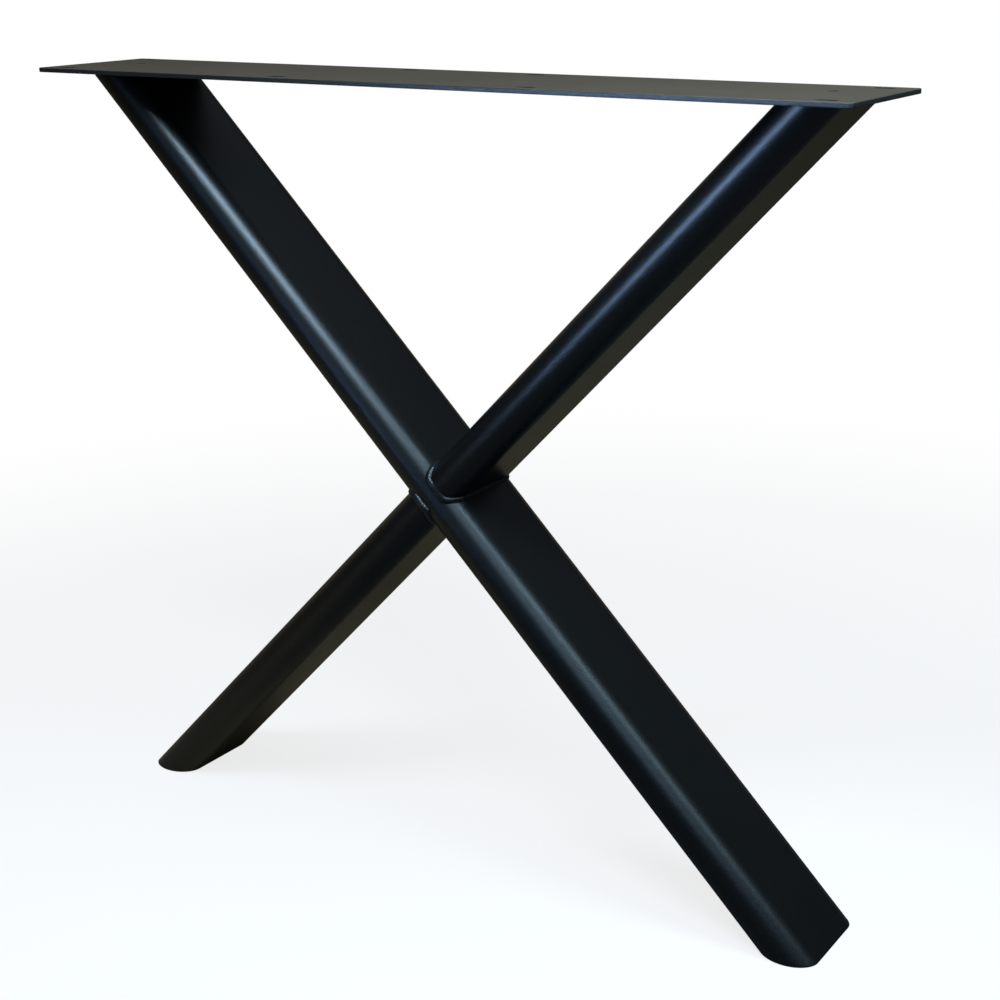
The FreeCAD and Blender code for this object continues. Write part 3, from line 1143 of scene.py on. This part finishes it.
@dataclass
class FootPlates:
    """Thin plates that close the feet, dressed flush with the tubes, each with a drain hole.

    Attributes:
        edge_radius: Rounding of the edge on the floor.
        edge_steps: Number of steps round it.
        rim_share: Width of the rim that keeps the underside's shading level, as a share of the way
            from the edge to the drain.
    """

    edge_radius: float = 1.0 * MM
    edge_steps: int = 5
    rim_share: float = 0.03

    def loops(self, diagonal: Diagonal) -> list[np.ndarray]:
        """Loops of a foot plate's skin: down its side, over the rounded edge, in to the drain and up it.

        The side leans with the tube. On the rounded edge at angle a the outline shrinks towards the
        foot's centre by e (1 - cos a) and lies e (1 - sin a) above the floor.

        Args:
            diagonal: The tube's line.

        Returns:
            Loops of points; the last is followed by the first.
        """
        outline = tube_outline()

        def level(height: float, inset: float) -> np.ndarray:
            """The tube's outline at a height, drawn in by an inset."""
            drawn = outline.points - outline.normals * inset
            return diagonal.place(drawn, diagonal.reach_of_height(drawn, height))

        angles = np.linspace(0.0, math.pi / 2, self.edge_steps + 1)
        rounding = [level(self.edge_radius * (1 - math.sin(a)), self.edge_radius * (1 - math.cos(a)))
                    for a in angles]
        floor_edge = rounding[-1]
        centre = np.array([-diagonal.lean.value * SIZES.spread / 2, SIZES.tube_y])
        bearing = np.arctan2(floor_edge[:, 1] - centre[1], floor_edge[:, 0] - centre[0])
        drain = SIZES.hole_diameter / 2 * on_circle(bearing) + centre
        rim = floor_edge + (at_height(drain, 0.0) - floor_edge) * self.rim_share
        return [level(SIZES.foot_plate, 0.0), *rounding, rim,
                at_height(drain, 0.0), at_height(drain, SIZES.foot_plate)]

    def build(self, material: bpy.types.Material) -> None:
        """Builds both foot plates.

        Args:
            material: Their finish.
        """
        for node, diagonal in (("long_tube_foot_plate", LONG), ("lower_arm_foot_plate", ARMS)):
            seat(MeshMaker.ring_form(node + "_skin", self.loops(diagonal), material), node)


@dataclass(frozen=True)
class SoftBox:
    """A rectangular studio lamp.

    Attributes:
        name: The lamp's name.
        place: Where it hangs.
        aim: The point it faces.
        size: Its width and height.
        power: Its power in watts.
        colour: Its colour.
        spread: The angle, in degrees, to which its grid narrows its light.
    """

    name: str
    place: Place
    aim: Place
    size: Pair
    power: float
    colour: Colour
    spread: float = 180.0

    def build(self) -> None:
        """Hangs the lamp."""
        lamp = bpy.data.lights.new(self.name, "AREA")
        lamp.shape = "RECTANGLE"
        lamp.size, lamp.size_y = self.size
        lamp.energy, lamp.color, lamp.spread = self.power, self.colour, math.radians(self.spread)
        item = bpy.data.objects.new(self.name, lamp)
        turn = (Vector(self.aim) - Vector(self.place)).to_track_quat("-Z", "Y")
        item.matrix_world = Matrix.Translation(self.place) @ turn.to_matrix().to_4x4()
        bpy.context.scene.collection.objects.link(item)


@dataclass(frozen=True)
class Room:
    """A white background to the eye, and a dim room with a warm back wall to the coat's reflections.

    Attributes:
        low: Colour of the room away from the wall, up to a little above the horizon.
        wall: Colour of the wall there.
        middle: Colour of the room above that.
        high: Colour of its ceiling.
        wall_along_y: Weight of a direction's Y in how far it points to the wall.
        wall_along_x: Weight of its X against that.
        wall_span: How far to the wall a direction points where its colour comes in.
        middle_span: Z of the directions where the middle's colour comes in.
        high_span: Z of the directions where the ceiling's colour comes in.
    """

    low: Colour = (0.03, 0.03, 0.035)
    wall: Colour = (0.42, 0.34, 0.22)
    middle: Colour = (0.026, 0.033, 0.037)
    high: Colour = (0.20, 0.235, 0.26)
    wall_along_y: float = 0.78
    wall_along_x: float = 0.62
    wall_span: Pair = (0.4, 0.9)
    middle_span: Pair = (0.06, 0.28)
    high_span: Pair = (0.42, 0.70)

    def build(self) -> None:
        """Makes the world."""
        world = bpy.data.worlds.new("studio_world")
        bpy.context.scene.world = world
        world.use_nodes = True
        graph = Graph(world.node_tree)
        camera = graph.add("ShaderNodeLightPath", output="Is Camera Ray")
        seen = camera | camera.sibling("Is Transmission Ray")
        ray = graph.add("ShaderNodeTexCoord", output="Generated")
        height = graph.add("ShaderNodeSeparateXYZ", {}, {"Vector": ray}, output="Z")
        to_wall = self.wall_along_y * height.sibling("Y") - self.wall_along_x * height.sibling("X")
        room = graph.blend(graph.ease(to_wall, self.wall_span), self.low, self.wall)
        room = graph.blend(graph.ease(height, self.middle_span), room, self.middle)
        room = graph.blend(graph.ease(height, self.high_span), room, self.high)
        dim = graph.add("ShaderNodeBackground", {}, {"Color": room, "Strength": 1.0})
        white = graph.add("ShaderNodeBackground", {}, {"Color": (1.0, 1.0, 1.0), "Strength": 1.0})
        both = graph.add("ShaderNodeMixShader", {}, {0: seen, 1: dim, 2: white})
        graph.add("ShaderNodeOutputWorld", {}, {"Surface": both})


@dataclass(frozen=True)
class PaleFloor:
    """A floor that looks white to the eye, keeps the leg's shadow and bounces a dim warm light.

    Attributes:
        half_side: Half of its side.
        level: Its height, a hair below the feet.
        pale: The two colours that its mottle mixes for the eye.
        mottle: That mottle.
        bounce: Colours that it bounces to the leg's right and to its left and back.
        bounce_span: Y less the slope times X where the second one comes in.
        bounce_slope: That slope.
        glow: Share of plain white that the eye sees near the leg and far from it.
        glow_span: Distances from the middle between which it changes.
    """

    half_side: float = 30.0
    level: float = -0.1 * MM
    pale: tuple[Colour, Colour] = ((0.93, 0.82, 0.76), (0.98, 0.87, 0.81))
    mottle: Pattern = Pattern(3.0, 3.0)
    bounce: tuple[Colour, Colour] = ((0.08, 0.075, 0.07), (0.34, 0.235, 0.14))
    bounce_span: Pair = (0.0, 0.7)
    bounce_slope: float = 2.5
    glow: Pair = (0.80, 1.0)
    glow_span: Pair = (0.6, 1.7)

    def material(self) -> bpy.types.Material:
        """Builds the floor's material.

        Returns:
            A new material.
        """
        material = bpy.data.materials.new("pale_floor")
        material.use_nodes = True
        graph = Graph(material.node_tree)
        eye = graph.add("ShaderNodeLightPath", output="Is Camera Ray")
        place = graph.add("ShaderNodeTexCoord", output="Object")
        far = graph.add("ShaderNodeVectorMath", {"operation": "LENGTH"}, {0: place}, output="Value")
        glow = graph.ease(far, self.glow_span, self.glow)
        pale = graph.blend(graph.noise(place, self.mottle), *self.pale)
        depth = graph.add("ShaderNodeSeparateXYZ", {}, {"Vector": place}, output="Y")
        behind = graph.ease(depth - self.bounce_slope * depth.sibling("X"), self.bounce_span)
        colour = graph.blend(eye, graph.blend(behind, *self.bounce), pale)
        ground = graph.add("ShaderNodeBsdfPrincipled", {}, {
            "Base Color": colour, "Roughness": 0.9, "Specular IOR Level": 0.0})
        white = graph.add("ShaderNodeEmission", {}, {"Color": (1.0, 1.0, 1.0), "Strength": 1.0})
        mixed = graph.add("ShaderNodeMixShader", {}, {0: glow * eye, 1: ground, 2: white})
        graph.add("ShaderNodeOutputMaterial", {}, {"Surface": mixed})
        return material

    def build(self) -> None:
        """Lays the floor."""
        square = np.array([[-1.0, -1.0], [1.0, -1.0], [1.0, 1.0], [-1.0, 1.0]])
        corners = at_height(square * self.half_side, self.level)
        MeshMaker.build("studio_floor", corners, [[0, 1, 2, 3]], self.material())


@dataclass(frozen=True)
class PhotoCamera:
    """The camera that took the picture.

    Attributes:
        eye: Its place.
        yaw: Its turn to the left, in degrees.
        pitch: Its tilt, in degrees, negative downwards.
        roll: Its roll, in degrees.
        focal_pixels: Its focal length in pixels of the picture.
        centre_pixel: The pixel that its axis meets.
        sensor: Width of its sensor, in millimetres.
        farthest: Distance up to which it sees.
    """

    eye: Place = (0.8772, -1.1845, 0.8228)
    yaw: float = 31.71
    pitch: float = -17.95
    roll: float = -0.61
    focal_pixels: float = 1733.27
    centre_pixel: Pair = (588.73, 493.08)
    sensor: float = 36.0
    farthest: float = 200.0

    def build(self) -> None:
        """Places the camera.

        Its axis is (-sin yaw cos pitch, cos yaw cos pitch, sin pitch); the picture's right and up
        directions are level and square to it, turned by the roll.
        """
        yaw, pitch, roll = (math.radians(angle) for angle in (self.yaw, self.pitch, self.roll))
        axis = Vector((-math.sin(yaw) * math.cos(pitch), math.cos(yaw) * math.cos(pitch), math.sin(pitch)))
        level = Vector((math.cos(yaw), math.sin(yaw), 0.0))
        upright = level.cross(axis)
        right = level * math.cos(roll) + upright * math.sin(roll)
        up = upright * math.cos(roll) - level * math.sin(roll)
        lens = bpy.data.cameras.new("photo_camera")
        lens.sensor_width = self.sensor
        lens.lens = self.focal_pixels / PICTURE_PIXELS * self.sensor
        lens.shift_x = 0.5 - self.centre_pixel[0] / PICTURE_PIXELS
        lens.shift_y = self.centre_pixel[1] / PICTURE_PIXELS - 0.5
        lens.clip_end = self.farthest
        item = bpy.data.objects.new("photo_camera", lens)
        item.matrix_world = Matrix.Translation(self.eye) @ Matrix((right, up, -axis)).transposed().to_4x4()
        bpy.context.scene.collection.objects.link(item)
        bpy.context.scene.camera = item


LAMPS = (
    SoftBox("high_key", place=(0.17, -0.64, 1.61), aim=(-0.2, 0.0, 0.55), size=(0.55, 0.45),
            power=21.5, colour=(0.56, 0.80, 1.0)),
    SoftBox("middle_key", place=(0.68, -0.08, 1.29), aim=(0.03, 0.0, 0.35), size=(0.38, 0.36),
            power=10.5, colour=(0.52, 0.81, 1.0)),
    SoftBox("side_key", place=(1.12, -0.05, 0.99), aim=(0.23, 0.0, 0.15), size=(0.40, 0.36),
            power=2.2, colour=(0.55, 0.82, 1.0)),
    SoftBox("front_fill", place=(0.76, -0.76, 0.92), aim=(0.14, 0.0, 0.22), size=(0.6, 0.55),
            power=2.5, colour=(0.45, 0.72, 1.0)),
    SoftBox("window", place=(-0.42, -1.40, 0.80), aim=(0.15, 0.0, 0.55), size=(0.6, 0.5),
            power=1.5, colour=(0.36, 0.60, 1.0)),
    SoftBox("arm_window", place=(-0.47, -1.36, 0.52), aim=(0.32, 0.0, 0.67), size=(0.42, 0.36),
            power=0.37, colour=(0.38, 0.60, 1.0), spread=24.0),
)


def main() -> None:
    """Builds the leg's pieces and the studio round them."""
    logging.basicConfig(level=logging.INFO, format="%(name)s: %(message)s")
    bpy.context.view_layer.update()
    materials = {slot: finish.material() for slot, finish in FINISHES.items()}
    for item in (PhotoCamera(), Room(), PaleFloor(), *LAMPS):
        item.build()
    bpy.context.scene.view_settings.view_transform = "Standard"
    CrossedTubes().build(materials[Slot.TUBE])
    WeldBeads().build(materials[Slot.WELD])
    TopPlate().build(materials[Slot.PLATE])
    FootPlates().build(materials[Slot.TUBE])
    bpy.context.view_layer.update()


if __name__ == "__main__":
    main()
